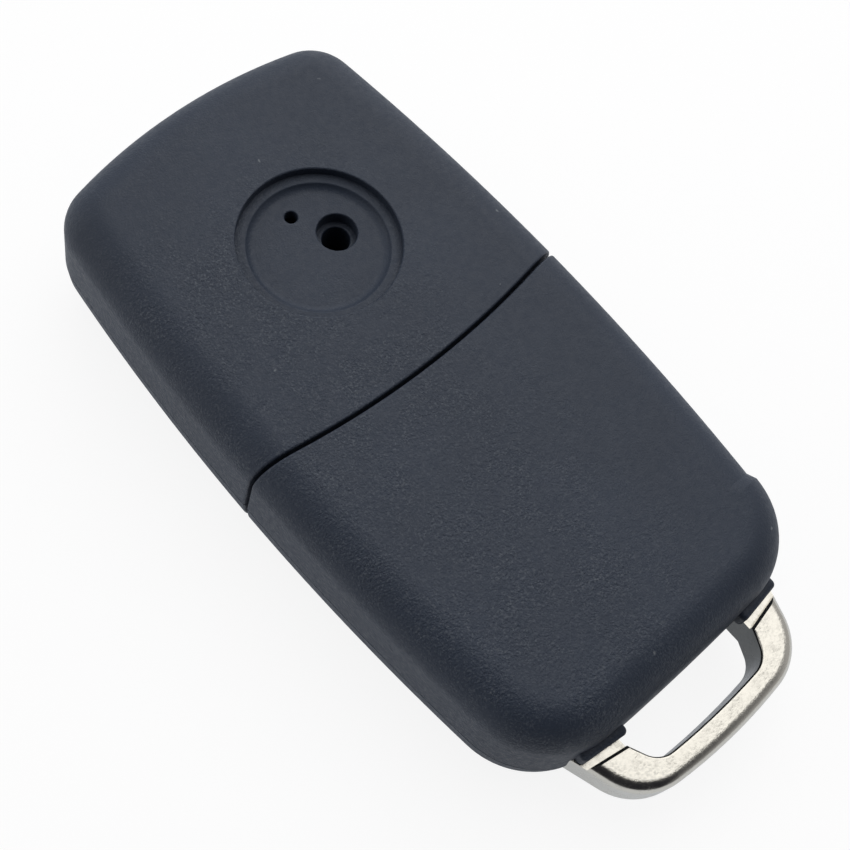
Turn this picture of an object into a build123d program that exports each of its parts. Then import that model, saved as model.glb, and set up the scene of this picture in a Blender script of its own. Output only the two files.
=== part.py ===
import os
from math import acos, degrees, radians, sqrt, tan

from build123d import *

# Replacement housing of a folding car key. Millimetres.
# The back of the key is up, the head end is +Y, the folded blade lies along +X,
# and the key rests on its flat front face at Z 0.

# Body
body_width = 35.1
head_end = 35.9
tail_end = -29.45
widest_y = 2.4
side_bow_radius = 238.0
head_bow_radius = 50.0
tail_bow_radius = 250.0
head_corner_radius = 5.0
tail_corner_radius = 8.0
body_height = 13.7
parting_height = 5.5
parting_gap = 0.12
wall = 1.4
side_draft = 3.5
back_rounding = 3.8
front_rounding = 4.3
edge_softening = 0.18

# Seam between the head and the remote half
seam_y = 2.7
seam_radius = 80.6
seam_gap = 0.32
lip_length = 1.5
lip_thickness = 0.9
lip_clearance = 0.15

# Badge recess with its screw and locating holes
recess_x = 0.32
recess_setback = 19.0
recess_y = head_end - recess_setback
recess_radius = 7.1
recess_ledge_depth = 0.9
recess_floor_radius = 6.2
recess_depth = 1.4
recess_floor_wall = 1.2
recess_cove = 0.8
rim_rounding = 0.12
screw_aside = 2.33
screw_ahead = 0.3
screw_x = recess_x + screw_aside
screw_y = recess_y + screw_ahead
screw_head_radius = 1.78
screw_head_depth = 1.35
screw_hole_radius = 1.25
screw_boss_radius = 2.3
screw_pilot_radius = 0.9
screw_pilot_end = 2.6
pin_hole_aside = 0.13
pin_hole_ahead = 3.8
pin_hole_x = recess_x + pin_hole_aside
pin_hole_y = recess_y + pin_hole_ahead
pin_hole_radius = 0.58

# Blade and its hub
hub_inset = 11.05
hub_setback = 10.1
hub_x = body_width / 2 - hub_inset
hub_y = head_end - hub_setback
hub_radius = 6.6
hub_low = 4.2
hub_high = 8.8
hub_bore_radius = 3.6
journal_radius = 4.6
journal_roof = 1.2
spigot_radius = 6.1
spigot_height = 0.5
wing_width = 9.1
wing_reach = 8.5
wing_corner_radius = 1.2
blade_offset = 1.8
blade_width = 7.8
blade_inner_x = hub_x + blade_offset
blade_outer_x = blade_inner_x + blade_width
blade_thickness = 3.0
blade_length = 37.1
blade_shoulder = hub_y - wing_reach
blade_tip = blade_shoulder - blade_length
blade_tip_radius = 3.2
blade_edge_chamfer = 0.3
blade_groove_width = 2.2
blade_groove_depth = 0.35
tang_offset = 2.6
tang_width = 4.0
tang_inner_x = blade_inner_x + tang_offset
tang_outer_x = tang_inner_x + tang_width
tang_length = 7.4
roll_pin_radius = 0.9
roll_pin_bore_radius = 0.5
roll_pin_slit = 0.3
running_clearance = 0.08
swing_clearance = 0.3
fit_clearance = 0.02

# Blade side, where the back pieces are drawn in to free the blade
blade_trim = 0.45
blade_tip_gap = 0.6
trim_ramp_gap = 0.65
trim_ramp = 0.85
channel_end = blade_tip - blade_tip_gap

# Release button, coaxial with the hub, and its spring
button_radius = 5.6
button_recess = 0.15
button_flange_radius = 6.1
button_flange_thickness = 0.6
button_travel = 1.5
button_dish_radius = 9.0
button_dish_depth = 0.3
button_stem_top = 5.0
lug_width = 2.0
lug_top = 4.6
spring_mean_radius = 2.8
spring_wire_radius = 0.32
spring_turns = 4

# Three keys and their keypad
key_length = 15.0
key_width = 6.0
key_pitch = 7.6
keypad_y = -11.8
key_corner_radius = 1.6
key_recess = 0.15
key_clearance = 0.15
key_flange = 0.5
key_flange_thickness = 0.6
key_travel = 0.6
key_stem_radius = 1.3
key_stem_gap = 0.1
key_edge_fillet = 0.3
frame_margin = 1.5
frame_band = 0.9
frame_corner_radius = 3.0
frame_depth = 0.6
frame_proud = 0.1
mat_low = wall + key_flange_thickness + key_travel + 2 * running_clearance
mat_thickness = 0.6
mat_margin = 1.4
mat_corner_radius = 2.0
dome_radius = 2.3
dome_wall = 0.5
dome_height = 0.8
keypad_rib = 0.7
keypad_rib_corner_radius = 1.4

# Inner tray and the round pocket for a 20 mm coin cell
tray_low = 6.45
tray_thickness = 1.2
tray_clearance = 0.25
channel_wall = 0.7
channel_clearance = 0.4
channel_floor_thickness = 0.9
channel_x = blade_inner_x - channel_clearance
cell_pocket_radius = 10.2
cell_ledge_radius = 8.6
cell_ledge_thickness = 0.75
cell_ring_wall = 0.75
cell_ring_height = 10.2
cell_ring_gap = 0.25
cell_finger_gap = 5.0
cell_x = channel_x - channel_wall - cell_ring_gap - cell_ring_wall - cell_pocket_radius
cell_y = -14.0
tongue_left = -9.0
tongue_step = 8.0
screw_points = [(-12.4, -0.9), (3.4, -26.2)]
tray_screw_radius = 0.7
tray_screw_head_radius = 1.4
tray_screw_head_height = 0.8
tray_screw_tip = 2.6
tray_screw_slot_width = 0.35
tray_screw_slot_length = 1.6
tray_screw_slot_depth = 0.4
tray_boss_radius = 1.55
tray_boss_gap = 0.05

# Key ring loop
loop_x = 0.2
loop_shoulder_inner_y = -30.65
loop_shoulder_outer_y = -29.85
loop_end = -35.9
loop_bow = 0.9
loop_low = 3.6
loop_high = 7.9
loop_shelf_high = 7.2
loop_root_half_width = 11.75
loop_root_y = -28.4
loop_corner_half_width = 9.65
loop_bar_inner = -33.6
loop_bar_inner_bow = 0.3
loop_inner_top = 7.5
loop_inner_bottom = 6.3
loop_inner_corner = 2.2
loop_outer_corner = 5.5
loop_high_rounding = 1.0
loop_low_rounding = 0.6
loop_inner_rounding = 0.25
loop_step_slant = 0.25
prong_outer = 10.6
prong_low = 3.9
prong_high = 6.3
prong_end = -24.6
peg_radius = 1.0
peg_clearance = 0.08
loop_notch_clearance = 0.1

# Cover that lifts off the cell
cover_tab_width = 4.0
cover_tab_thickness = 0.8
cover_tab_low = 6.9
cover_tab_y = -1.9
cover_tab_points = [-6.6, 3.0]
cover_tab_clearance = 0.2
cover_lip_inner = 6.9
cover_lip_outer = 11.4
cover_lip_inner_end = -29.95
cover_lip_outer_end = -29.4
cover_lip_root = -27.4
cover_lip_high = 9.0
cover_lip_rounding = 0.45

ROOM = 60.0


def disc(x, y, radius, low, high):
    """Upright cylinder between two heights."""
    upright = (Align.CENTER, Align.CENTER, Align.MIN)
    return Pos(x, y, low) * Cylinder(radius, high - low, align=upright)


def block(x, y, z):
    """Box between the low and high value of each axis."""
    size = [pair[1] - pair[0] for pair in (x, y, z)]
    return Pos(x[0], y[0], z[0]) * Box(*size, align=(Align.MIN, Align.MIN, Align.MIN))


def prism(outline, low, high):
    """Upright prism of a plan outline between two heights."""
    return Pos(0, 0, low) * extrude(outline, amount=high - low, dir=(0, 0, 1))


def rounded_plate(x, y, width, length, radius, low, high):
    """Upright plate with rounded corners, centred on a point."""
    outline = Pos(x, y) * RectangleRounded(width, length, radius)
    return prism(outline, low, high)


def body_outline(inset=0.0, trim=0.0):
    """Plan outline of the body: every side bowed, rounded corners."""
    reach = side_bow_radius - body_width / 2
    side = side_bow_radius - inset
    outline = Pos(reach, widest_y) * Circle(side) & Pos(-reach - trim, widest_y) * Circle(side)
    outline &= Pos(0, head_end - head_bow_radius) * Circle(head_bow_radius - inset)
    outline &= Pos(0, tail_end + tail_bow_radius) * Circle(tail_bow_radius - inset)
    head_corners = outline.vertices().sort_by(Axis.Y)[-2:]
    outline = fillet(head_corners, head_corner_radius - inset)
    tail_corners = outline.vertices().sort_by(Axis.Y)[:2]
    return fillet(tail_corners, tail_corner_radius - inset)


def moulded_half(height, rounding, inset=0.0, trim=0.0):
    """One half of the body standing on its parting face, drafted and rounded over."""
    drawn_in = inset + height * tan(radians(side_draft))
    foot = body_outline(inset, trim)
    top = Pos(0, 0, height) * body_outline(drawn_in, trim)
    solid = loft([foot, top], ruled=True)
    return fillet(solid.faces().sort_by(Axis.Z)[-1].edges(), rounding - inset)


def back_form(inset=0.0, trim=0.0):
    """Back half, or its hollow when it is inset."""
    base = parting_height + parting_gap / 2
    solid = moulded_half(body_height - base - inset, back_rounding, inset, trim)
    return Pos(0, 0, base) * solid


def front_form(inset=0.0):
    """Front half, or its hollow when it is inset."""
    base = parting_height - parting_gap / 2
    solid = moulded_half(base - inset, front_rounding, inset)
    return Pos(0, 0, base) * mirror(solid, about=Plane.XY)


def seam_disc(shift):
    """Everything on the head's side of the seam arc, moved by a shift towards the tail."""
    return disc(0, seam_y + seam_radius, seam_radius + shift, -ROOM, ROOM)


def soften_seam(solid):
    """Round the outer edges along the seam, but not along the parting face."""
    seam_centre = Vector(0, seam_y + seam_radius, 0)

    def on_seam(edge):
        middle = edge.position_at(0.5)
        reach = (Vector(middle.X, middle.Y, 0) - seam_centre).length
        return abs(reach - seam_radius) < seam_gap and abs(middle.Z - parting_height) > seam_gap

    return fillet(solid.edges().filter_by(on_seam), edge_softening)


def side_x(y):
    """X of the foot of the body's side at one Y."""
    reach = y - widest_y
    return body_width / 2 - side_bow_radius + sqrt(side_bow_radius**2 - reach**2)


def tail_corner():
    """Tail end of the back half, at full width, with a ramp down to the drawn-in side."""
    drawn_in = back_form(trim=blade_trim)
    start = channel_end - trim_ramp_gap
    end = start - trim_ramp
    slab = drawn_in & block((0, ROOM), (start - wall, start), (0, ROOM))
    profile = slab.faces().sort_by(Axis.Y)[-1]
    outward = Vector(blade_trim + side_x(end) - side_x(start), end - start, 0)
    reach = extrude(profile, amount=ROOM, dir=outward.normalized())
    return back_form() & reach


def swing_space():
    """Room that the hub and its wing sweep through, open at the head and the blade side."""
    low = hub_low - swing_clearance
    high = hub_high + swing_clearance
    open_left = 2 * hub_x - blade_outer_x - swing_clearance
    wing_low = blade_shoulder - swing_clearance
    top = block((open_left, ROOM), (hub_y - swing_clearance, ROOM), (low, high))
    side = block((blade_inner_x - 2 * swing_clearance, ROOM), (wing_low, hub_y), (low, high))
    return top + side + disc(hub_x, hub_y, hub_radius + swing_clearance, low, high)


def blade_low():
    return (hub_low + hub_high - blade_thickness) / 2


def journal_top():
    return seat_ceiling() - swing_clearance


def seat_ceiling():
    """Ceiling of the pocket that holds the hub's journal."""
    return body_height - wall - journal_roof


def channel_levels():
    """Lowest and highest Z of the blade's channel."""
    return blade_low() - channel_clearance, blade_low() + blade_thickness + channel_clearance


def blade_channel():
    """Slot in the side of the body for the folded blade."""
    return block((channel_x, ROOM), (channel_end, blade_shoulder), channel_levels())


def lip(form, top_inset):
    """Inner lip that starts in the head and reaches under the edge past the seam."""
    root = form(wall - fit_clearance) - form(wall + lip_clearance + lip_thickness)
    root = (root & seam_disc(-seam_gap / 2)) - seam_disc(-2 * lip_length)
    tip = form(wall + lip_clearance) - form(wall + lip_clearance + lip_thickness)
    tip = (tip & seam_disc(lip_length)) - seam_disc(-lip_length)
    return (root + tip) & top_inset


def recess_hollow():
    """Inner step of the badge recess, with a soft cove all round its floor."""
    depth = recess_depth - recess_ledge_depth
    cove_radius = (recess_cove**2 + depth**2) / (2 * depth)
    flat = recess_floor_radius - recess_cove
    floor = body_height - recess_depth
    cove = CenterArc((flat, floor + cove_radius), cove_radius, -90, cove_angle(depth, cove_radius))
    end = cove.position_at(1)
    edges = [
        Line((0, floor), (flat, floor)),
        cove,
        Line((end.X, end.Y), (end.X, ROOM)),
        Line((end.X, ROOM), (0, ROOM)),
        Line((0, ROOM), (0, floor)),
    ]
    section = Plane.XZ * make_face(edges)
    return Pos(recess_x, recess_y) * revolve(section, Axis.Z)


def cove_angle(depth, radius):
    """Degrees of the arc that rises by a depth from the floor it is tangent to."""
    return degrees(acos((radius - depth) / radius))


def soften_rims(shell):
    """Round the rims of the badge recess and of its holes."""
    floor = body_height - recess_depth
    rims = [
        (recess_radius, body_height),
        (recess_floor_radius, body_height - recess_ledge_depth),
        (screw_head_radius, floor),
        (screw_hole_radius, floor - screw_head_depth),
        (pin_hole_radius, floor),
    ]

    def on_rim(edge):
        level = edge.position_at(0.5).Z
        return any(
            abs(edge.radius - radius) < fit_clearance and abs(level - rim_level) < fit_clearance
            for radius, rim_level in rims
        )

    circles = shell.edges().filter_by(GeomType.CIRCLE)
    return fillet(circles.filter_by(on_rim), rim_rounding)


def make_head_back_shell():
    """Visible head cover with the badge recess and the seat of the hub's journal."""
    ceiling = body_height - wall
    outer = soften_seam(back_form(trim=blade_trim) & seam_disc(-seam_gap / 2))
    shell = outer - back_form(wall)
    floor = body_height - recess_depth
    inside = back_form(fit_clearance)
    boss_wall = recess_radius + wall
    boss = disc(recess_x, recess_y, boss_wall, floor - recess_floor_wall, body_height)
    boss += disc(screw_x, screw_y, screw_boss_radius, tray_low + tray_thickness, body_height)
    seat = disc(hub_x, hub_y, hub_radius, hub_high + swing_clearance, ceiling + fit_clearance)
    seat -= disc(hub_x, hub_y, journal_radius + running_clearance, 0, seat_ceiling())
    shell += (boss + seat) & inside
    shell += lip(back_form, block((-ROOM, ROOM), (-ROOM, ROOM), (parting_height, ROOM)))
    shell -= disc(recess_x, recess_y, recess_radius, body_height - recess_ledge_depth, ROOM)
    shell -= recess_hollow()
    shell -= disc(screw_x, screw_y, screw_head_radius, floor - screw_head_depth, ROOM)
    shell -= disc(screw_x, screw_y, screw_hole_radius, 0, ROOM)
    shell -= disc(pin_hole_x, pin_hole_y, pin_hole_radius, floor - recess_floor_wall, ROOM)
    return soften_rims(shell - swing_space() - blade_channel())


def make_head_front_shell():
    """Front of the head with the release button's sleeve and the screw boss."""
    outer = soften_seam(front_form() & seam_disc(-seam_gap / 2))
    shell = outer - front_form(wall)
    sleeve_top = hub_low - swing_clearance
    sleeve_bore = button_flange_radius + running_clearance
    inside = front_form(fit_clearance) + block((-ROOM, ROOM), (-ROOM, ROOM), (wall, tray_low))
    added = disc(hub_x, hub_y, sleeve_bore + wall / 2, wall - fit_clearance, sleeve_top)
    added += disc(screw_x, screw_y, screw_boss_radius, wall - fit_clearance, tray_low)
    shell += added & inside
    shell += lip(front_form, block((-ROOM, ROOM), (-ROOM, ROOM), (0, parting_height)))
    shell -= disc(hub_x, hub_y, sleeve_bore, wall, ROOM)
    shell -= disc(hub_x, hub_y, button_radius + running_clearance, -1, ROOM)
    shell -= disc(screw_x, screw_y, screw_pilot_radius, screw_pilot_end, ROOM)
    return shell - swing_space() - blade_channel()


def hub_arm():
    """Arm of the hub that holds the blade's tang."""
    inner = blade_inner_x - swing_clearance
    arm = block((inner, hub_x + wing_width), (blade_shoulder, hub_y), (hub_low, hub_high))
    corners = arm.edges().filter_by(Axis.Z).sort_by(Axis.Y)[:2]
    return fillet(corners, wing_corner_radius)


def make_blade_hub():
    """Die-cast hub: drum, upper journal, lower spigot and the arm round the tang."""
    hub = disc(hub_x, hub_y, hub_radius, hub_low, hub_high) + hub_arm()
    hub += disc(hub_x, hub_y, journal_radius, hub_low, journal_top())
    hub += disc(hub_x, hub_y, spigot_radius, hub_low - spigot_height, hub_low + fit_clearance)
    hub -= disc(hub_x, hub_y, hub_bore_radius, 0, ROOM)
    lug_space = lug_width / 2 + running_clearance
    lug_reach = spigot_radius + running_clearance
    slot_top = lug_top + button_travel + swing_clearance
    for side in (-1, 1):
        reach = sorted((hub_y, hub_y + side * lug_reach))
        hub -= block((hub_x - lug_space, hub_x + lug_space), reach, (0, slot_top))
    hub -= blade_bar(fit_clearance)
    return hub - disc(pin_point()[0], pin_point()[1], roll_pin_radius + fit_clearance, 0, ROOM)


def pin_point():
    """Centre of the roll pin, in the middle of the tang."""
    return (tang_inner_x + tang_outer_x) / 2, blade_shoulder + tang_length / 2


def blade_bar(clearance):
    """Blade and tang as one flat bar, with a clearance all round."""
    low = blade_low() - clearance
    high = blade_low() + blade_thickness + clearance
    bar = block(
        (blade_inner_x - clearance, blade_outer_x + clearance),
        (blade_tip, blade_shoulder - fit_clearance),
        (low, high),
    )
    corners = bar.edges().filter_by(Axis.Z).sort_by(Axis.Y)[:2]
    bar = fillet(corners, blade_tip_radius)
    tang = block(
        (tang_inner_x - clearance, tang_outer_x + clearance),
        (blade_shoulder - 1, blade_shoulder + tang_length + clearance),
        (low, high),
    )
    return bar + tang


def make_key_blade():
    """Uncut blade: flat bar with a groove down both faces and a hole for its pin."""
    blade = blade_bar(0)
    rims = [
        edge
        for edge in blade.edges().filter_by(Axis.Y)
        if edge.center().Y < blade_shoulder and edge.length > tang_length
    ]
    blade = chamfer(rims, blade_edge_chamfer)
    middle = (blade_inner_x + blade_outer_x) / 2
    groove_x = (middle - blade_groove_width / 2, middle + blade_groove_width / 2)
    groove_y = (blade_tip + blade_tip_radius, blade_shoulder - wall)
    top = blade_low() + blade_thickness
    blade -= block(groove_x, groove_y, (top - blade_groove_depth, ROOM))
    blade -= block(groove_x, groove_y, (0, blade_low() + blade_groove_depth))
    return blade - disc(pin_point()[0], pin_point()[1], roll_pin_radius + fit_clearance, 0, ROOM)


def make_blade_roll_pin():
    """Slit spring pin through the hub's arm and the tang."""
    x, y = pin_point()
    pin = disc(x, y, roll_pin_radius, hub_low, hub_high)
    pin -= disc(x, y, roll_pin_bore_radius, 0, ROOM)
    return pin - block((x, x + wall), (y - roll_pin_slit / 2, y + roll_pin_slit / 2), (0, ROOM))


def make_release_button():
    """Round button with a dished face, a flange behind the shell and two lugs."""
    flange_low = wall + running_clearance
    flange_high = flange_low + button_flange_thickness
    cap = disc(hub_x, hub_y, button_radius, button_recess, flange_high)
    cap = fillet(cap.edges().group_by(Axis.Z)[0], key_edge_fillet)
    button = cap + disc(hub_x, hub_y, button_flange_radius, flange_low, flange_high)
    stem_radius = hub_bore_radius - running_clearance
    button += disc(hub_x, hub_y, stem_radius, flange_low, button_stem_top)
    lug = block(
        (hub_x - lug_width / 2, hub_x + lug_width / 2),
        (hub_y - spigot_radius, hub_y + spigot_radius),
        (flange_low, lug_top),
    )
    button += lug & disc(hub_x, hub_y, spigot_radius, 0, ROOM)
    sink = button_recess + button_dish_depth - button_dish_radius
    return button - Pos(hub_x, hub_y, sink) * Sphere(button_dish_radius)


def make_flip_spring():
    """Coil spring between the button's stem and the ceiling of the journal's seat."""
    low = button_stem_top + spring_wire_radius
    high = seat_ceiling() - spring_wire_radius
    height = high - low - fit_clearance
    coil = Helix(pitch=height / spring_turns, height=height, radius=spring_mean_radius)
    start = coil.position_at(0)
    section = Plane(origin=start, z_dir=coil.tangent_at(0)) * Circle(spring_wire_radius)
    wire = sweep(section, path=coil, is_frenet=True)
    return Pos(hub_x, hub_y, low) * wire


def key_rows():
    """Y of the three keys, from the head to the tail."""
    return [keypad_y + key_pitch, keypad_y, keypad_y - key_pitch]


def make_key(y):
    """Key cap with rounded rim, a flange behind the shell and a stem over its dome."""
    flange_low = wall + running_clearance
    flange_high = flange_low + key_flange_thickness
    cap = rounded_plate(0, y, key_length, key_width, key_corner_radius, key_recess, flange_high)
    cap = fillet(cap.faces().sort_by(Axis.Z)[0].edges(), key_edge_fillet)
    flange_length = key_length + 2 * key_flange
    flange_width = key_width + 2 * key_flange
    corner = key_corner_radius + key_flange
    key = cap + rounded_plate(0, y, flange_length, flange_width, corner, flange_low, flange_high)
    return key + disc(0, y, key_stem_radius, flange_low, mat_low - key_stem_gap)


def keypad_span():
    """Length of the three keys with their pitch, along Y."""
    return 3 * key_pitch


def frame_band_solid(clearance):
    """Bright band round the three keys, as a flat ring."""
    width = key_length + 2 * frame_margin
    length = keypad_span() + frame_margin
    high = frame_depth + clearance
    outer = rounded_plate(
        0,
        keypad_y,
        width + 2 * clearance,
        length + 2 * clearance,
        frame_corner_radius + clearance,
        -1,
        high,
    )
    inner = rounded_plate(
        0,
        keypad_y,
        width - 2 * frame_band - 2 * clearance,
        length - 2 * frame_band - 2 * clearance,
        frame_corner_radius - frame_band - clearance,
        -1,
        ROOM,
    )
    return outer - inner


def make_keypad_frame():
    """Bright trim band, set into the front of the remote half."""
    band = frame_band_solid(0) & block((-ROOM, ROOM), (-ROOM, ROOM), (frame_proud, ROOM))
    rims = band.faces().sort_by(Axis.Z)[0].edges()
    return fillet(rims, frame_proud)


def make_keypad_mat():
    """Silicone mat with one hollow dome over each key's stem."""
    width = key_length + 2 * mat_margin
    length = keypad_span() + mat_margin
    mat_high = mat_low + mat_thickness
    mat = rounded_plate(0, keypad_y, width, length, mat_corner_radius, mat_low, mat_high)
    upright = (Align.CENTER, Align.CENTER, Align.MIN)
    neck = dome_radius - dome_wall
    dome = Cone(dome_radius, neck, mat_thickness + dome_height, align=upright)
    hollow = Cone(neck, neck - dome_wall, dome_height, align=upright)
    for y in key_rows():
        mat += Pos(0, y, mat_low) * dome
        mat -= Pos(0, y, mat_low) * hollow
    return mat


def loop_outline(clearance):
    """Outer plan of the bright loop, from its roots inside the body round the bowed bar."""
    root = loop_root_half_width + clearance
    corner = loop_corner_half_width
    corner_y = loop_end + loop_bow
    edges = [
        Line((loop_x - root, loop_root_y), (loop_x + root, loop_root_y)),
        Line((loop_x + root, loop_root_y), (loop_x + corner, corner_y)),
        ThreePointArc((loop_x + corner, corner_y), (loop_x, loop_end), (loop_x - corner, corner_y)),
        Line((loop_x - corner, corner_y), (loop_x - root, loop_root_y)),
    ]
    outline = make_face(edges)
    return fillet(outline.vertices().sort_by(Axis.Y)[:2], loop_outer_corner)


def loop_opening(clearance):
    """Plan of the opening for the key ring, wider at the body than at the bar."""
    bottom = loop_inner_bottom - clearance
    top = loop_inner_top - clearance
    left = (loop_x - bottom, loop_bar_inner + loop_bar_inner_bow + clearance)
    right = (loop_x + bottom, loop_bar_inner + loop_bar_inner_bow + clearance)
    sides = Polyline(
        right,
        (loop_x + top, loop_shoulder_inner_y),
        (loop_x + top, ROOM),
        (loop_x - top, ROOM),
        (loop_x - top, loop_shoulder_inner_y),
        left,
    )
    bar = ThreePointArc(left, (loop_x, loop_bar_inner + clearance), right)
    opening = make_face([*sides.edges(), bar])
    return fillet(opening.vertices().sort_by(Axis.Y)[:2], loop_inner_corner)


def loop_ring(clearance, low, high):
    """Bar and two arms of the loop, up to their ends inside the body."""
    ring = prism(loop_outline(clearance) - loop_opening(clearance), low, high)
    return ring & block((-ROOM, ROOM), (-ROOM, loop_root_y + clearance), (0, ROOM))


def above_shelves():
    """Room over the two low shelves that the body's edge covers, slanted at the steps' tops."""
    body_side = Polygon(
        (-ROOM, loop_shoulder_outer_y),
        (loop_x - loop_root_half_width, loop_shoulder_outer_y),
        (loop_x - loop_inner_top, loop_shoulder_inner_y),
        (loop_x + loop_inner_top, loop_shoulder_inner_y),
        (loop_x + loop_root_half_width, loop_shoulder_outer_y),
        (ROOM, loop_shoulder_outer_y),
        (ROOM, ROOM),
        (-ROOM, ROOM),
        align=None,
    )
    slant = extrude(body_side, amount=loop_step_slant + wall, dir=Vector(0, -1, 1).normalized())
    return prism(body_side, loop_shelf_high, ROOM) + Pos(0, 0, loop_high - loop_step_slant) * slant


def loop_prongs(clearance):
    """Two prongs that run from the loop's arms into the body."""
    sides = []
    for side in (-1, 1):
        inner = loop_x + side * (loop_inner_top - clearance)
        outer = loop_x + side * (prong_outer + clearance)
        y = (loop_root_y - wall, prong_end + clearance)
        z = (prong_low - clearance, prong_high + clearance)
        sides.append(block(sorted((inner, outer)), y, z))
    return sides[0] + sides[1]


def peg_points():
    middle = (loop_inner_top + prong_outer) / 2
    y = (prong_end + loop_root_y) / 2
    return [(loop_x - middle, y), (loop_x + middle, y)]


def peg_columns(radius):
    """Upright columns at the two pegs."""
    left, right = [disc(x, y, radius, 0, ROOM) for x, y in peg_points()]
    return left + right


def loop_notch():
    """Room for the loop in the front and in the cover, with the pegs left standing."""
    clearance = loop_notch_clearance
    notch = loop_ring(clearance, loop_low - clearance, loop_shelf_high + clearance)
    return notch + loop_prongs(clearance) - peg_columns(peg_radius)


def make_remote_front_shell():
    """Front of the remote half with the key windows, bosses and the loop's seats."""
    outer = soften_seam(front_form() - seam_disc(seam_gap / 2))
    shell = outer - front_form(wall)
    floor = wall - fit_clearance
    width = key_length + 2 * mat_margin
    length = keypad_span() + mat_margin
    added = rounded_plate(0, keypad_y, width, length, mat_corner_radius, floor, mat_low)
    rib_width = width - 2 * keypad_rib
    rib_length = length - 2 * keypad_rib
    added -= rounded_plate(0, keypad_y, rib_width, rib_length, keypad_rib_corner_radius, 0, ROOM)
    for x, y in screw_points:
        added += disc(x, y, tray_boss_radius, floor, tray_low - tray_boss_gap)
    seat_top = prong_low - tray_boss_gap
    for x, y in peg_points():
        half = (prong_outer - loop_inner_top) / 2
        added += block((x - half, x + half), (tail_end, prong_end), (floor, seat_top))
        added += disc(x, y, peg_radius, floor, prong_high)
    inside = prism(body_outline(wall + tray_clearance), wall, tray_low)
    shell += added & (front_form(fit_clearance) + inside)
    for y in key_rows():
        shell -= rounded_plate(
            0,
            y,
            key_length + 2 * key_clearance,
            key_width + 2 * key_clearance,
            key_corner_radius + key_clearance,
            -1,
            mat_low,
        )
    shell -= frame_band_solid(fit_clearance)
    for x, y in screw_points:
        shell -= disc(x, y, tray_screw_radius, tray_screw_tip - fit_clearance, ROOM)
    return shell - loop_notch() - blade_channel()


def cover_lips():
    """Two small lips of the cover over the shelves of the loop."""
    low = loop_shelf_high + loop_notch_clearance
    lips = []
    for side in (-1, 1):
        inner = loop_x + side * cover_lip_inner
        outer = loop_x + side * cover_lip_outer
        plan = Polygon(
            (inner, cover_lip_root),
            (inner, cover_lip_inner_end),
            (outer, cover_lip_outer_end),
            (outer, cover_lip_root),
            align=None,
        )
        lip_block = prism(plan, low, cover_lip_high)
        rims = [
            edge
            for edge in lip_block.edges()
            if edge.center().Z > low + cover_lip_rounding and edge.center().Y < cover_lip_root - wall / 2
        ]
        lips.append(fillet(rims, cover_lip_rounding))
    return lips[0] + lips[1]


def make_battery_cover():
    """Back of the remote half: lifts off, with two straight tabs into the tray."""
    outer = soften_seam(back_form(trim=blade_trim) - seam_disc(seam_gap / 2))
    cover = outer + tail_corner() + cover_lips() - back_form(wall)
    ceiling = body_height - wall
    for x in cover_tab_points:
        cover += block(
            (x - cover_tab_width / 2, x + cover_tab_width / 2),
            (cover_tab_y - cover_tab_thickness, cover_tab_y),
            (cover_tab_low, ceiling + fit_clearance),
        )
    return cover - loop_notch() - blade_channel()


def make_remote_chassis():
    """Inner tray: cell pocket, blade channel and the tongue clamped by the head's screw."""
    top = tray_low + tray_thickness
    low, high = channel_levels()
    remote = block((-ROOM, ROOM), (-ROOM, ROOM), (0, ROOM)) - seam_disc(lip_length + tray_clearance)
    inside = back_form(wall + tray_clearance) + front_form(wall + tray_clearance)
    parting = (parting_height - parting_gap, parting_height + parting_gap)
    inside += prism(body_outline(wall + tray_clearance), *parting)
    plate = block((-ROOM, channel_x), (tail_end, seam_y), (tray_low, top))
    ring = disc(cell_x, cell_y, cell_pocket_radius + cell_ring_wall, tray_low, cell_ring_height)
    floor_low = low - channel_floor_thickness
    roof_high = high + channel_floor_thickness
    end_low = channel_end - channel_wall
    channel = block((channel_x - channel_wall, ROOM), (end_low, seam_y), (floor_low, roof_high))
    channel -= block((channel_x, ROOM), (channel_end, ROOM), (low, high))
    tray = (plate + ring + channel) & inside & remote
    tray -= disc(cell_x, cell_y, cell_pocket_radius, tray_low + cell_ledge_thickness, ROOM)
    tray -= disc(cell_x, cell_y, cell_ledge_radius, 0, ROOM)
    finger = (cell_x - cell_finger_gap / 2, cell_x + cell_finger_gap / 2)
    tray -= block(finger, (cell_y, ROOM), (top, ROOM))
    tongue = Polygon(
        (tongue_left, seam_y - tongue_step / 2),
        (channel_x - channel_wall, seam_y - tongue_step / 2),
        (channel_x - channel_wall, tongue_step),
        (screw_x + screw_boss_radius, screw_y),
        (screw_x - screw_boss_radius, screw_y),
        (tongue_left, tongue_step),
        align=None,
    )
    arm = prism(tongue, tray_low, top) + disc(screw_x, screw_y, screw_boss_radius, tray_low, top)
    arm -= disc(cell_x, cell_y, cell_pocket_radius, 0, ROOM)
    tray += arm
    for x in cover_tab_points:
        half = cover_tab_width / 2 + cover_tab_clearance
        low_y = cover_tab_y - cover_tab_thickness - cover_tab_clearance
        high_y = cover_tab_y + cover_tab_clearance
        tray -= block((x - half, x + half), (low_y, high_y), (0, ROOM))
    for x, y in screw_points:
        tray -= disc(x, y, tray_screw_radius + running_clearance, 0, ROOM)
    return tray - disc(screw_x, screw_y, screw_hole_radius, 0, ROOM) - swing_space()


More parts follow.
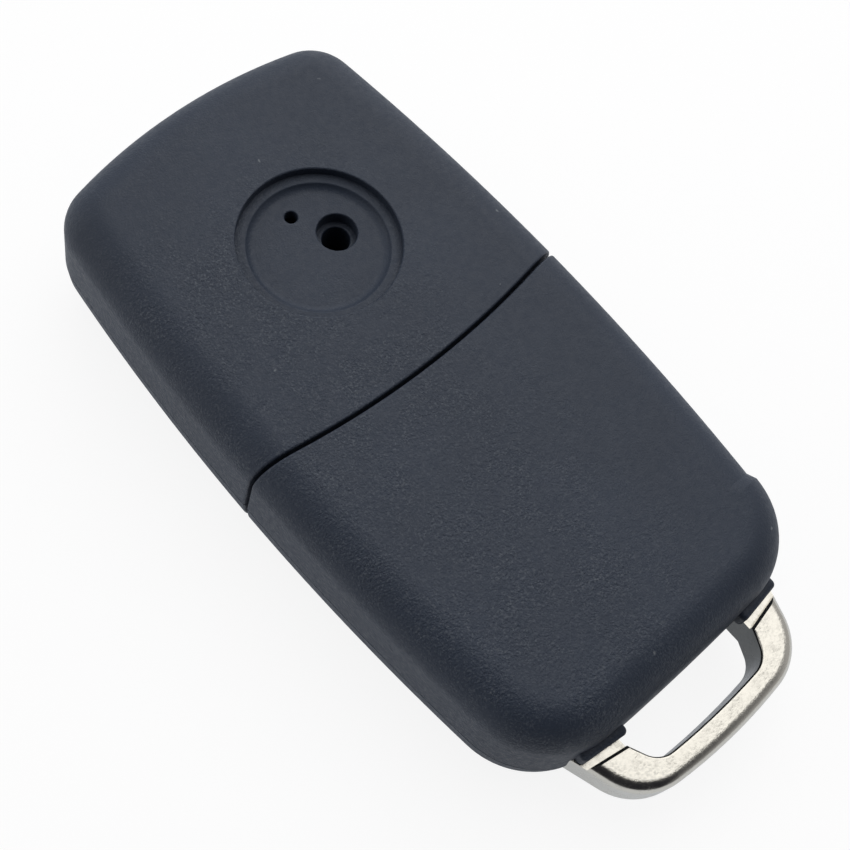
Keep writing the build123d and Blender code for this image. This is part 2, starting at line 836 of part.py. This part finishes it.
def make_chassis_screws():
    """Two pan-head screws that hold the tray to the front shell."""
    top = tray_low + tray_thickness
    slot_z = (top + tray_screw_slot_depth, ROOM)
    width = tray_screw_slot_width / 2
    length = tray_screw_slot_length / 2
    screws = []
    for x, y in screw_points:
        screw = disc(x, y, tray_screw_radius - fit_clearance, tray_screw_tip, top)
        head = disc(x, y, tray_screw_head_radius, top, top + tray_screw_head_height)
        head = fillet(head.edges().group_by(Axis.Z)[-1], tray_screw_head_height / 2)
        cross = block((x - length, x + length), (y - width, y + width), slot_z)
        cross += block((x - width, x + width), (y - length, y + length), slot_z)
        screws.append(screw + head - cross)
    return Compound(children=screws)


def make_key_ring_loop():
    """Cast loop for a key ring, with low shelves and prongs that enter the body."""
    bar_middle = Vector(loop_x, loop_bar_inner, 0)

    def on_inner_bar(edge):
        middle = edge.position_at(0.5)
        return (Vector(middle.X, middle.Y, 0) - bar_middle).length < loop_inner_rounding

    loop = loop_ring(0, loop_low, loop_high)
    for level, rounding in ((0, loop_low_rounding), (-1, loop_high_rounding)):
        rims = loop.faces().sort_by(Axis.Z)[level].edges()
        loop = fillet(rims.sort_by(Axis.Y)[0], rounding)
        rims = loop.faces().sort_by(Axis.Z)[level].edges()
        loop = fillet(rims.filter_by(on_inner_bar), loop_inner_rounding)
    loop -= above_shelves()
    return loop + loop_prongs(0) - peg_columns(peg_radius + peg_clearance)


def save(solid, name):
    """Write one sub-part to its own file."""
    export_step(solid, f"parts/{name}.step")


os.makedirs("parts", exist_ok=True)
lock_y, boot_y, unlock_y = key_rows()
save(make_head_back_shell(), "head_back_shell")
save(make_head_front_shell(), "head_front_shell")
save(make_blade_hub(), "blade_hub")
save(make_key_blade(), "key_blade")
save(make_blade_roll_pin(), "blade_roll_pin")
save(make_flip_spring(), "flip_spring")
save(make_release_button(), "release_button")
save(make_remote_front_shell(), "remote_front_shell")
save(make_battery_cover(), "battery_cover")
save(make_remote_chassis(), "remote_chassis")
save(make_chassis_screws(), "chassis_screws")
save(make_keypad_frame(), "keypad_frame")
save(make_keypad_mat(), "keypad_mat")
save(make_key(lock_y), "lock_button")
save(make_key(boot_y), "boot_button")
save(make_key(unlock_y), "unlock_button")
save(make_key_ring_loop(), "key_ring_loop")
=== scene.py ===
from math import cos, pi, radians, sin

import bpy
from mathutils import Matrix, Vector


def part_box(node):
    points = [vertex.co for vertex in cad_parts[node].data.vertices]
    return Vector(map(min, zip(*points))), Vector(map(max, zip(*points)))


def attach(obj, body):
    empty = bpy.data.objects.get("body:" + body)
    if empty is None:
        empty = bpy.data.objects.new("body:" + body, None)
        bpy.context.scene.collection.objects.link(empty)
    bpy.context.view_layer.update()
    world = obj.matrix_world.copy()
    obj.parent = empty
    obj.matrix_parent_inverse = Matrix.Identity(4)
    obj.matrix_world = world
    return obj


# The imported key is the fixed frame; lengths are in metres unless a comment says otherwise
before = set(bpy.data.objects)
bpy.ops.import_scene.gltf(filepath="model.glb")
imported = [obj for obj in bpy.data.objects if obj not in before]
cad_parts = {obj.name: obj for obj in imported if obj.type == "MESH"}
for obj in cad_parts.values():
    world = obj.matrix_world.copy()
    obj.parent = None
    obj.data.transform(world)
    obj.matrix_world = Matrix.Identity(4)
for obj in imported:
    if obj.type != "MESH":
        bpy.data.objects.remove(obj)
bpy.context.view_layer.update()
MM = 0.001

# Camera of the photograph, its lens in mm on a frame of 36 mm
CAMERA_PLACE = Vector((-45.12, -25.17, 125.02)) * MM
CAMERA_TARGET = Vector((-3.83, -1.16, 13.7)) * MM
CAMERA_ROLL = radians(19.48)
CAMERA_LENS = 63.45
CAMERA_NEAR = 1 * MM

# Grey room that darkens towards one side, between two cosines of the angle to it
ROOM_LIGHT = (0.43, 0.43, 0.44)
ROOM_SHADE = (0.02, 0.02, 0.025)
SHADE_SIDE = Vector((-0.45, -0.62, 0.64))
SHADE_COSINES = (0.4, 0.8)

# Square lamps that face the key, their power in watts
OVERHEAD = {"place": (0.16, 0.10, 0.39), "size": 0.48, "power": 0.74}
FILL = {"place": (-0.30, 0.36, 0.22), "size": 0.36, "power": 0.28}
WINDOW = {"place": (0.36, 0.31, 0.21), "size": 0.40, "power": 0.40}

# Floor, and its share of plain white as the camera and as reflections see it
FLOOR_HALF = 1.2
FLOOR_DROP = 0.02 * MM
FLOOR_COLOUR = (0.86, 0.86, 0.86)
FLOOR_ROUGHNESS = 0.7
FLOOR_WHITE = 1.1
FLOOR_SEEN = 0.8
FLOOR_REFLECTED = 0.4
SEEN_TONE = (1.0, 1.0, 1.0)
REFLECTED_TONE = (0.92, 0.97, 1.05)

# Colours of the materials
SHELL = (0.0340, 0.0450, 0.0680)
TRAY = (0.022, 0.024, 0.027)
RUBBER = (0.02, 0.021, 0.024)
SILICONE = (0.32, 0.33, 0.34)
NICKEL = (0.71, 0.68, 0.605)
# Darker nickel for the steep sides inside the loop: painted shade
NICKEL_PAINTED_SHADE = (0.13, 0.13, 0.122)
CHROME = (0.86, 0.86, 0.87)
ZINC = (0.55, 0.55, 0.56)
BLADE_STEEL = (0.68, 0.67, 0.64)
DARK_STEEL = (0.42, 0.42, 0.43)
PALE_INK = (0.55, 0.56, 0.57)
DUST = (0.26, 0.28, 0.3)

# Places on the key: X grows towards the blade's side and Y towards the head's end
RECESS_PLACE = Vector((0.32, 16.9, 13.2)) * MM
LOOP_MIDDLE = 0.2 * MM
LOOP_SIDES = (7.55 * MM, 7.75 * MM)
LOOP_END = (-33.85 * MM, -33.7 * MM)

# Coarse grain of the moulded plastic, and its pale speckle painted as glints: places or values, and
# its share at either end of them
ACROSS_KEY = {"source": (-1 * MM, 9 * MM), "result": (1.0, 0.1)}
ALONG_KEY = {"source": (21 * MM, 27 * MM), "result": (1.0, 0.3)}
RECESS_EDGE = {"source": (6.4 * MM, 7.1 * MM), "result": (0.35, 1.0)}
PATCHES = {"source": (0.35, 0.65), "result": (0.35, 1.0)}
PATCH_SIZE = 3 * MM

# Moulded plastic: sizes are in grains, apart from the clouds and the depths
PLASTIC_SPECULAR = 0.36
CLOUD_SIZE = 9 * MM
CLOUD_GAIN = 1.12
# Pale speckle painted as glints, strongest where the coarse grain's share is full
GLINT_SIZE = 1.2
GLINT_EDGE = (0.52, 0.74)
GLINT_GAIN = 1.3
GLINT_LIFT = (0.046, 0.046, 0.04)
FINE_DEPTH = 0.05 * MM
FINE_STRENGTH = (0.45, 1.0)
COARSE_SIZE = 2.0
COARSE_DEPTH = 0.1 * MM
COARSE_STRENGTH = (0.15, 0.85)
GLOSS_SIZE = 3.0
GLOSS_SPREAD = 0.07

# Plate of the loop: pitted in patches on its flat tops, with painted shade where it is steep inside
# the loop
FLAT_TOPS = {"source": (0.9, 1.0)}
STEEP_SIDES = {"source": (0.3, 0.8), "result": (1.0, 0.0)}
WORN_SIZE = 1.6 * MM
WORN_PATCHES = {"source": (0.38, 0.6), "result": (0.25, 1.0)}
PIT_SIZE = 0.28 * MM
PIT_EDGE = (0.48, 0.7)
PIT_GAIN = 0.83
PIT_DEPTH = 0.046 * MM
PIT_STRENGTH = (0.06, 0.75)
LOOP_GLOSS_SIZE = 0.8 * MM
LOOP_GLOSS = (0.18, 0.3)

# Dust: specks of an uneven outline, their reach a share of the space between them
DUST_SPACING = 5.5 * MM
DUST_WARP = 0.5 * MM
DUST_REACH = (0.014, 0.03)
DUST_SHARE = 0.55

# Parts of a noise's range over which a colour or a roughness changes
SOFT = (0.3, 0.7)
CLOUDY = (0.35, 0.7)

# Sockets of the Mix node that hold colours
MIX_FIRST, MIX_SECOND, MIX_RESULT = 6, 7, 2


def node(tree, kind, **inputs):
    """New shader node with some of its inputs set."""
    made = tree.nodes.new(kind)
    for name, value in inputs.items():
        made.inputs[name].default_value = value
    return made


def feed(tree, socket, value):
    """Give a socket a number or a colour, or link another socket to it."""
    if isinstance(value, float):
        socket.default_value = value
    elif isinstance(value, tuple):
        socket.default_value = (*value, 1.0)
    else:
        tree.links.new(value, socket)


def scaled(colour, factor):
    """Colour made lighter or darker."""
    return tuple(factor * value for value in colour)


def material(name, colour, roughness, metallic=0.0):
    """Principled material with its tree and its shader."""
    made = bpy.data.materials.new(name)
    made.use_nodes = True
    shader = made.node_tree.nodes["Principled BSDF"]
    shader.inputs["Base Color"].default_value = (*colour, 1.0)
    shader.inputs["Roughness"].default_value = roughness
    shader.inputs["Metallic"].default_value = metallic
    made.diffuse_color = (*colour, 1.0)
    return made, made.node_tree, shader


def place_of(tree):
    """Object coordinates, in metres."""
    return tree.nodes.new("ShaderNodeTexCoord").outputs["Object"]


def noise_node(tree, vector, size, detail=2.0, roughness=0.5):
    """Noise node whose grains are about one size across, in metres."""
    made = node(tree, "ShaderNodeTexNoise", Scale=1.0 / size, Detail=detail, Roughness=roughness)
    tree.links.new(vector, made.inputs["Vector"])
    return made


def noise(tree, size, detail=2.0, roughness=0.5):
    """Values of a noise that is fixed to the object."""
    return noise_node(tree, place_of(tree), size, detail, roughness).outputs["Fac"]


def part_of(tree, output, axis):
    """One axis of an object coordinate or of the surface's own direction."""
    split = tree.nodes.new("ShaderNodeSeparateXYZ")
    coordinates = tree.nodes.new("ShaderNodeTexCoord")
    tree.links.new(coordinates.outputs[output], split.inputs["Vector"])
    return split.outputs[axis]


def maths(tree, operation, *values):
    """Values and numbers put together by a maths operation."""
    made = tree.nodes.new("ShaderNodeMath")
    made.operation = operation
    for socket, value in zip(made.inputs, values):
        feed(tree, socket, value)
    return made.outputs["Value"]


def vector_maths(tree, operation, vector, fixed):
    """Node for a vector maths operation between a linked vector and a fixed one."""
    made = tree.nodes.new("ShaderNodeVectorMath")
    made.operation = operation
    made.inputs[1].default_value = fixed
    tree.links.new(vector, made.inputs[0])
    return made


def ramp(tree, value, source=(0.0, 1.0), result=(0.0, 1.0)):
    """Value mapped from one range to another and clamped."""
    made = tree.nodes.new("ShaderNodeMapRange")
    for name, end in zip(("From Min", "From Max", "To Min", "To Max"), (*source, *result)):
        feed(tree, made.inputs[name], end)
    tree.links.new(value, made.inputs["Value"])
    return made.outputs["Result"]


def mix(tree, share, first, second):
    """Colour between two colours."""
    made = tree.nodes.new("ShaderNodeMix")
    made.data_type = "RGBA"
    tree.links.new(share, made.inputs["Factor"])
    feed(tree, made.inputs[MIX_FIRST], first)
    feed(tree, made.inputs[MIX_SECOND], second)
    return made.outputs[MIX_RESULT]


def bump(tree, shader, height, depth, strength, under=None):
    """Bump of a real depth, in metres, on top of the one under it."""
    made = node(tree, "ShaderNodeBump", Distance=depth)
    feed(tree, made.inputs["Strength"], strength)
    tree.links.new(height, made.inputs["Height"])
    if under is not None:
        tree.links.new(under, made.inputs["Normal"])
    tree.links.new(made.outputs["Normal"], shader.inputs["Normal"])
    return made.outputs["Normal"]


def colour_by(tree, shader, share, first, second):
    """Let the surface's colour go from one colour to another."""
    tree.links.new(mix(tree, share, first, second), shader.inputs["Base Color"])


def gloss_by(tree, shader, value, source, result):
    """Let the surface's roughness follow a value."""
    tree.links.new(ramp(tree, value, source, result), shader.inputs["Roughness"])


def dust_share(tree):
    """Sparse tiny specks of dust, as a share between 0 and 1."""
    cells = node(tree, "ShaderNodeTexVoronoi", Scale=1.0 / DUST_SPACING)
    warp = noise_node(tree, place_of(tree), DUST_WARP)
    shift = vector_maths(tree, "MULTIPLY_ADD", warp.outputs["Color"], (DUST_WARP,) * 3)
    tree.links.new(place_of(tree), shift.inputs[2])
    tree.links.new(shift.outputs["Vector"], cells.inputs["Vector"])
    return ramp(tree, cells.outputs["Distance"], DUST_REACH, (DUST_SHARE, 0.0))


def grain_and_glint_share(tree):
    """Share of coarse grain and of painted glints: full away from the blade, less by the head's end
    and in the recess.
    """
    across = ramp(tree, part_of(tree, "Object", "X"), **ACROSS_KEY)
    along = ramp(tree, part_of(tree, "Object", "Y"), **ALONG_KEY)
    patches = ramp(tree, noise(tree, PATCH_SIZE, detail=3.0), **PATCHES)
    from_recess = vector_maths(tree, "DISTANCE", place_of(tree), RECESS_PLACE).outputs["Value"]
    outside = ramp(tree, from_recess, **RECESS_EDGE)
    by_side = maths(tree, "MULTIPLY", across, along)
    return maths(tree, "MULTIPLY", by_side, maths(tree, "MULTIPLY", patches, outside))


def moulded_plastic(name, colour, roughness, grain):
    """Matte moulded plastic: fine grain, pale speckle painted as glints, a slow change of tone and
    a little dust.
    """
    made, tree, shader = material(name, colour, roughness)
    shader.inputs["Specular IOR Level"].default_value = PLASTIC_SPECULAR
    grain_and_glint = grain_and_glint_share(tree)
    clouds = ramp(tree, noise(tree, CLOUD_SIZE), CLOUDY)
    tone = mix(tree, clouds, colour, scaled(colour, CLOUD_GAIN))
    speckle = noise(tree, GLINT_SIZE * grain, detail=1.0)
    # Painted glints: pale speckle mixed in as far as the coarse grain's share reaches
    pale = tuple(GLINT_GAIN * value + lift for value, lift in zip(colour, GLINT_LIFT))
    speckled = mix(tree, ramp(tree, speckle, GLINT_EDGE, (0.0, grain_and_glint)), tone, pale)
    colour_by(tree, shader, dust_share(tree), speckled, DUST)
    fine = noise(tree, grain, detail=3.0)
    under = bump(tree, shader, fine, FINE_DEPTH, ramp(tree, grain_and_glint, result=FINE_STRENGTH))
    rough = noise(tree, COARSE_SIZE * grain)
    bump(tree, shader, rough, COARSE_DEPTH, ramp(tree, grain_and_glint, result=COARSE_STRENGTH), under)
    spread = (roughness - GLOSS_SPREAD, roughness + GLOSS_SPREAD)
    gloss_by(tree, shader, noise(tree, GLOSS_SIZE * grain), SOFT, spread)
    return made


def plated_metal(name, colour, roughness):
    """Bright plated metal, a little duller in places."""
    made, tree, shader = material(name, colour, roughness, metallic=1.0)
    gloss_by(tree, shader, noise(tree, size=1.5 * MM), CLOUDY, (roughness, roughness * 1.5))
    return made


def loop_metal(name, colour, painted_shade_colour):
    """Satin nickel plate: pitted on its flat tops, smooth on its edges, with painted shade on its
    steep sides inside the loop.
    """
    made, tree, shader = material(name, colour, roughness=0.24, metallic=1.0)
    upward = part_of(tree, "Normal", "Z")
    flat = ramp(tree, upward, **FLAT_TOPS)
    patches = ramp(tree, noise(tree, WORN_SIZE, detail=3.0), **WORN_PATCHES)
    pitted = maths(tree, "MULTIPLY", flat, patches)
    pits = noise(tree, PIT_SIZE, roughness=0.55)
    pit_share = ramp(tree, pits, PIT_EDGE, (0.0, pitted))
    plate = mix(tree, pit_share, colour, scaled(colour, PIT_GAIN))
    off_middle = maths(tree, "SUBTRACT", part_of(tree, "Object", "X"), LOOP_MIDDLE)
    between = ramp(tree, maths(tree, "ABSOLUTE", off_middle), LOOP_SIDES, result=(1.0, 0.0))
    before_end = ramp(tree, part_of(tree, "Object", "Y"), LOOP_END)
    inside = maths(tree, "MULTIPLY", between, before_end)
    steep = ramp(tree, maths(tree, "ABSOLUTE", upward), **STEEP_SIDES)
    # Painted shade: the steep sides inside the loop take the darker nickel
    colour_by(tree, shader, maths(tree, "MULTIPLY", inside, steep), plate, painted_shade_colour)
    bump(tree, shader, pits, PIT_DEPTH, ramp(tree, pitted, result=PIT_STRENGTH))
    gloss_by(tree, shader, noise(tree, LOOP_GLOSS_SIZE, detail=3.0), CLOUDY, LOOP_GLOSS)
    return made


def brushed_metal(name, colour, roughness, scale):
    """Bare metal with a fine grain, brushed along an axis where its scale is small."""
    made, tree, shader = material(name, colour, roughness, metallic=1.0)
    mapping = node(tree, "ShaderNodeMapping", Scale=scale)
    tree.links.new(place_of(tree), mapping.inputs["Vector"])
    lines = noise_node(tree, mapping.outputs["Vector"], size=0.2 * MM, detail=3.0).outputs["Fac"]
    bump(tree, shader, lines, depth=0.01 * MM, strength=0.5)
    gloss_by(tree, shader, lines, SOFT, (roughness * 0.85, roughness * 1.3))
    return made


def silicone(name, colour):
    """Translucent grey rubber of the keypad mat."""
    made, tree, shader = material(name, colour, roughness=0.55)
    shader.inputs["Subsurface Weight"].default_value = 0.25
    shader.inputs["Subsurface Scale"].default_value = 0.5 * MM
    clouds = ramp(tree, noise(tree, size=3 * MM), SOFT)
    colour_by(tree, shader, clouds, colour, scaled(colour, 1.2))
    bump(tree, shader, noise(tree, size=0.2 * MM), depth=0.01 * MM, strength=0.4)
    return made


def painted(name, colour):
    """Thin pale ink, a little uneven."""
    made, tree, shader = material(name, colour, roughness=0.55)
    cover = ramp(tree, noise(tree, size=0.4 * MM), SOFT)
    colour_by(tree, shader, cover, scaled(colour, 0.8), colour)
    return made


def dress(look, *names):
    """Give CAD nodes one material."""
    for name in names:
        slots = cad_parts[name].data.materials
        slots.clear()
        slots.append(look)


dress(
    moulded_plastic("housing_plastic", SHELL, roughness=0.50, grain=0.16 * MM),
    "head_back_shell", "head_front_shell", "battery_cover", "remote_front_shell",
)
dress(moulded_plastic("tray_plastic", TRAY, roughness=0.45, grain=0.25 * MM), "remote_chassis")
dress(
    moulded_plastic("key_rubber", RUBBER, roughness=0.6, grain=0.12 * MM),
    "lock_button", "boot_button", "unlock_button",
)
dress(silicone("mat_silicone", SILICONE), "keypad_mat")
# Nickel loop with painted shade on its steep inner sides
dress(loop_metal("loop_nickel", NICKEL, NICKEL_PAINTED_SHADE), "key_ring_loop")
dress(plated_metal("trim_chrome", CHROME, roughness=0.07), "keypad_frame", "release_button")
dress(brushed_metal("hub_zinc", ZINC, roughness=0.36, scale=(1.0, 1.0, 1.0)), "blade_hub")
dress(
    brushed_metal("blade_steel", BLADE_STEEL, roughness=0.24, scale=(1.0, 0.04, 1.0)),
    "key_blade",
)
dress(
    brushed_metal("dark_steel", DARK_STEEL, roughness=0.30, scale=(1.0, 1.0, 0.1)),
    "blade_roll_pin", "flip_spring", "chassis_screws",
)

# Symbols on the keys: their outlines are in mm about the middle of a key
LOCK_BODY = {"y": -0.6, "width": 2.3, "height": 1.7, "radius": 0.25}
BOW_OUTER, BOW_INNER = 0.8, 0.5
CLOSED_BOW = {"y": 0.75, "left_leg": 0.45, "right_leg": 0.45}
OPEN_BOW = {"y": 1.1, "left_leg": 0.8, "right_leg": 0.25}
FRONT_WHEEL, REAR_WHEEL, WHEEL_RADIUS, ARCH_RADIUS = -1.55, 1.4, 0.36, 0.5
SILL, WHEEL_DROP = -0.75, 0.02
CORNER_STEPS, ARCH_STEPS, BOW_STEPS, WHEEL_STEPS = 5, 8, 12, 20

# The ink reaches this far out of a key's face, and as far into it
INK_REACH = 0.03 * MM
INK = painted("symbol_ink", PALE_INK)


def arc(x, y, radius, start, end, steps):
    """Points along an arc in plan, its angles given in half turns."""
    turns = [pi * (start + (end - start) * step / steps) for step in range(steps + 1)]
    return [(x + radius * cos(turn), y + radius * sin(turn)) for turn in turns]


def rounded_box(y, width, height, radius):
    """Outline of a rounded rectangle about a point above or below the middle."""
    right, top = width / 2 - radius, height / 2 - radius
    corners = ((right, -top, -0.5), (right, top, 0.0), (-right, top, 0.5), (-right, -top, 1.0))
    return [
        point for x, up, turn in corners
        for point in arc(x, y + up, radius, turn, turn + 0.5, CORNER_STEPS)
    ]


def bow(y, left_leg, right_leg):
    """Outline of a padlock's bow with a leg on either side."""
    over = arc(0.0, y, BOW_OUTER, 0.0, 1.0, BOW_STEPS)
    under = arc(0.0, y, BOW_INNER, 1.0, 0.0, BOW_STEPS)
    left = [(-BOW_OUTER, y - left_leg), (-BOW_INNER, y - left_leg)]
    right = [(BOW_INNER, y - right_leg), (BOW_OUTER, y - right_leg)]
    return over + left + under + right


def wheel_arch(x):
    """Part of a car's lower edge, from one side of a wheel to the other."""
    over = arc(x, SILL, ARCH_RADIUS, 1.0, 0.0, ARCH_STEPS)[1:-1]
    return [(x - ARCH_RADIUS, SILL), *over, (x + ARCH_RADIUS, SILL)]


def open_boot():
    """Side of a car with its boot lid up."""
    underside = [(-2.6, SILL), *wheel_arch(FRONT_WHEEL), *wheel_arch(REAR_WHEEL), (2.45, SILL)]
    top = [(2.45, 0.05), (1.45, 0.15), (0.85, 0.9), (-0.55, 0.9), (-1.15, 0.2), (-2.45, 0.0)]
    lid = [(1.15, 0.95), (1.3, 0.75), (2.65, 1.25), (2.55, 1.5)]
    wheels = [
        arc(x, SILL - WHEEL_DROP, WHEEL_RADIUS, 0.0, 2.0, WHEEL_STEPS)[:-1]
        for x in (FRONT_WHEEL, REAR_WHEEL)
    ]
    return [underside + top, lid, *wheels]


def add_object(name, data):
    """New object in the scene."""
    made = bpy.data.objects.new(name, data)
    bpy.context.scene.collection.objects.link(made)
    return made


def make_symbol(name, outlines, key, body):
    """Printed symbol: thin solid plates on the middle of a key's front face."""
    low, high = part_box(key)
    x, y = (low[0] + high[0]) / 2, (low[1] + high[1]) / 2
    levels = (low[2] - INK_REACH, low[2] + INK_REACH)
    points, faces = [], []
    for outline in outlines:
        count, first = len(outline), len(points)
        points += [(x + across * MM, y + up * MM, z) for z in levels for across, up in outline]
        faces.append([first + step for step in reversed(range(count))])
        faces.append([first + count + step for step in range(count)])
        for step in range(count):
            here, there = first + step, first + (step + 1) % count
            faces.append([here, there, there + count, here + count])
    mesh = bpy.data.meshes.new(name)
    mesh.from_pydata(points, [], faces)
    mesh.materials.append(INK)
    symbol = add_object(name, mesh)
    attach(symbol, body)


lock_body = rounded_box(**LOCK_BODY)
make_symbol("lock_symbol", [lock_body, bow(**CLOSED_BOW)], "lock_button", "lock_key")
make_symbol("boot_symbol", open_boot(), "boot_button", "boot_key")
make_symbol("unlock_symbol", [lock_body, bow(**OPEN_BOW)], "unlock_button", "unlock_key")


def whiten(tree, shader):
    """Show mostly plain white to the camera, and some of it to reflections."""
    path = tree.nodes.new("ShaderNodeLightPath").outputs
    mirrored = maths(tree, "MAXIMUM", path["Is Glossy Ray"], path["Is Transmission Ray"])
    seen_share = ramp(tree, path["Is Camera Ray"], result=(0.0, FLOOR_SEEN))
    mirrored_share = ramp(tree, mirrored, result=(0.0, FLOOR_REFLECTED))
    white = node(tree, "ShaderNodeEmission", Strength=FLOOR_WHITE)
    tree.links.new(mix(tree, mirrored, SEEN_TONE, REFLECTED_TONE), white.inputs["Color"])
    blend = tree.nodes.new("ShaderNodeMixShader")
    tree.links.new(maths(tree, "MAXIMUM", seen_share, mirrored_share), blend.inputs["Fac"])
    tree.links.new(shader.outputs["BSDF"], blend.inputs[1])
    tree.links.new(white.outputs["Emission"], blend.inputs[2])
    tree.links.new(blend.outputs["Shader"], tree.nodes["Material Output"].inputs["Surface"])


def make_floor():
    """Pale studio floor just under the key."""
    mesh = bpy.data.meshes.new("floor")
    corners = ((-1, -1), (1, -1), (1, 1), (-1, 1))
    mesh.from_pydata([(x * FLOOR_HALF, y * FLOOR_HALF, 0) for x, y in corners], [], [(0, 1, 2, 3)])
    floor = add_object("floor", mesh)
    floor.location.z = -FLOOR_DROP
    made, tree, shader = material("floor_white", FLOOR_COLOUR, FLOOR_ROUGHNESS)
    mesh.materials.append(made)
    whiten(tree, shader)


def make_world():
    """Even grey room, darker behind the camera on the tail's side."""
    world = bpy.data.worlds.new("studio")
    world.use_nodes = True
    tree = world.node_tree
    direction = tree.nodes.new("ShaderNodeTexCoord").outputs["Generated"]
    cosine = vector_maths(tree, "DOT_PRODUCT", direction, SHADE_SIDE.normalized()).outputs["Value"]
    colour = mix(tree, ramp(tree, cosine, SHADE_COSINES), ROOM_LIGHT, ROOM_SHADE)
    tree.links.new(colour, tree.nodes["Background"].inputs["Color"])
    bpy.context.scene.world = world


def make_light(name, place, size, power):
    """Square soft light that faces the key."""
    data = bpy.data.lights.new(name, "AREA")
    data.size = size
    data.energy = power
    light = add_object(name, data)
    light.location = place
    light.rotation_euler = (-Vector(place)).to_track_quat("-Z", "Y").to_euler()


def make_camera():
    """Camera that sees the key as the photograph does."""
    data = bpy.data.cameras.new("camera")
    data.lens = CAMERA_LENS
    data.clip_start = CAMERA_NEAR
    camera = add_object("camera", data)
    look = (CAMERA_TARGET - CAMERA_PLACE).to_track_quat("-Z", "Y").to_matrix().to_4x4()
    roll = Matrix.Rotation(CAMERA_ROLL, 4, "Z")
    camera.matrix_world = Matrix.Translation(CAMERA_PLACE) @ look @ roll
    bpy.context.scene.camera = camera


make_floor()
make_world()
make_light("overhead", **OVERHEAD)
make_light("window", **WINDOW)
make_light("fill", **FILL)
make_camera()
bpy.context.scene.view_settings.view_transform = "Standard"
